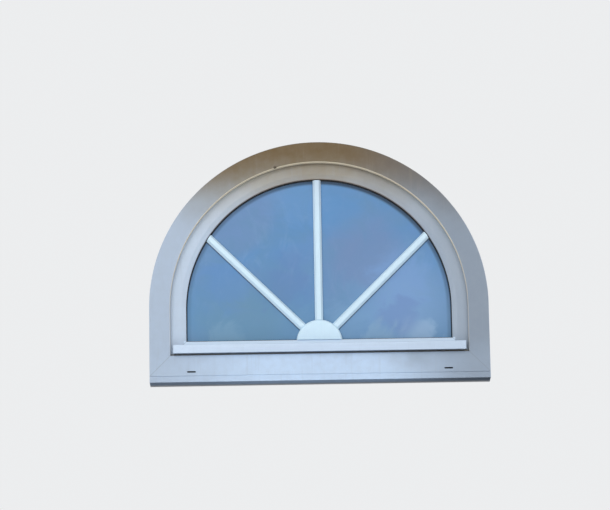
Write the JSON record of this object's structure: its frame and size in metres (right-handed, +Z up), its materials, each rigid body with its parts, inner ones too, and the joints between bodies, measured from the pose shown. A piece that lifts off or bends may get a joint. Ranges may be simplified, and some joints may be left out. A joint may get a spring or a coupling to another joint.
{
  "type": "half-round window",
  "caption": "Half-round white plastic window: the glazed sash tilts into the room on bottom hinges and locks with a lever and curved bar; sunburst bars, weather rail, sill profile.",
  "frame": {"origin": "centre of the sill profile's flat underside, at the middle of the frame's depth", "axes": "+X right seen from outside, +Y into the room, +Z up to the crown"},
  "size_m": [1.1, 0.1403, 0.7969],
  "materials": {
    "white_profile": "satin white",
    "bar_profile": "satin white",
    "weather_rail": "satin white",
    "gasket": "matt black",
    "glass": "clear float glass",
    "spacer": "satin",
    "galvanised_steel": "galvanised",
    "setting_block": "matt",
    "hinge_metal": "white lacquer",
    "handle_paint": "white lacquer",
    "fittings_steel": "zinc plated"
  },
  "bodies": {
    "frame": {"frame_bottom_rail": "white_profile", "frame_gasket": "gasket", "frame_head": "white_profile", "frame_reinforcement": "galvanised_steel", "hinge_frame_leaves": "hinge_metal", "hinge_pins": "hinge_metal", "sill_profile": "white_profile", "stay_studs": "fittings_steel", "striker_centre": "fittings_steel", "striker_left": "fittings_steel", "striker_right": "fittings_steel"},
    "sash": {"cavity_bars": "bar_profile", "drip_rail": "weather_rail", "drip_rail_cap_left": "weather_rail", "drip_rail_cap_right": "weather_rail", "glazing_bead_arch": "white_profile", "glazing_bead_bottom": "white_profile", "handle_rosette": "handle_paint", "hinge_sash_leaves": "hinge_metal", "inner_bar_centre": "bar_profile", "inner_bar_left": "bar_profile", "inner_bar_right": "bar_profile", "inner_glazing_gasket": "gasket", "inner_hub": "bar_profile", "inner_pane": "glass", "lock_faceplate": "fittings_steel", "lock_gearbox": "fittings_steel", "outer_bar_centre": "bar_profile", "outer_bar_left": "bar_profile", "outer_bar_right": "bar_profile", "outer_glazing_gasket": "gasket", "outer_hub": "bar_profile", "outer_pane": "glass", "pane_spacer": "spacer", "sash_bottom_rail": "white_profile", "sash_gasket": "gasket", "sash_head": "white_profile", "sash_reinforcement": "galvanised_steel", "setting_blocks": "setting_block", "stay_pivots": "fittings_steel"},
    "handle": {"handle_lever": "handle_paint", "handle_spindle": "fittings_steel", "gear_pinion": "fittings_steel"},
    "lock_bar": {"lock_bar": "fittings_steel", "lock_cams": "fittings_steel"},
    "stay_left": {"stay_arm_left": "fittings_steel"},
    "stay_right": {"stay_arm_right": "fittings_steel"}
  },
  "joints": [
    {"name": "sash_tilt", "type": "hinge", "parent": "frame", "child": "sash", "pos_m": [0, 0.057, 0.057], "axis": [-1, 0, 0], "range_deg": [0, 15]},
    {"name": "handle_turn", "type": "hinge", "parent": "sash", "child": "handle", "pos_m": [0, 0.01, 0.717], "axis": [0, 1, 0], "range_deg": [0, 90]},
    {"name": "lock_slide", "type": "hinge", "parent": "sash", "child": "lock_bar", "pos_m": [0, 0.01, 0.247], "axis": [0, 1, 0], "range_deg": [0, 2.06]},
    {"name": "stay_left_swing", "type": "hinge", "parent": "sash", "child": "stay_left", "pos_m": [-0.49725, 0.003, 0.237], "axis": [-1, 0, 0], "range_deg": [0, 18]},
    {"name": "stay_right_swing", "type": "hinge", "parent": "sash", "child": "stay_right", "pos_m": [0.49725, 0.003, 0.237], "axis": [-1, 0, 0], "range_deg": [0, 18]}
  ],
  "couplings": [
    {"joint": "lock_slide", "follows": "handle_turn", "ratio": 0.022869},
    {"joint": "stay_left_swing", "follows": "sash_tilt", "ratio": 1.18},
    {"joint": "stay_right_swing", "follows": "sash_tilt", "ratio": 1.18}
  ]
}
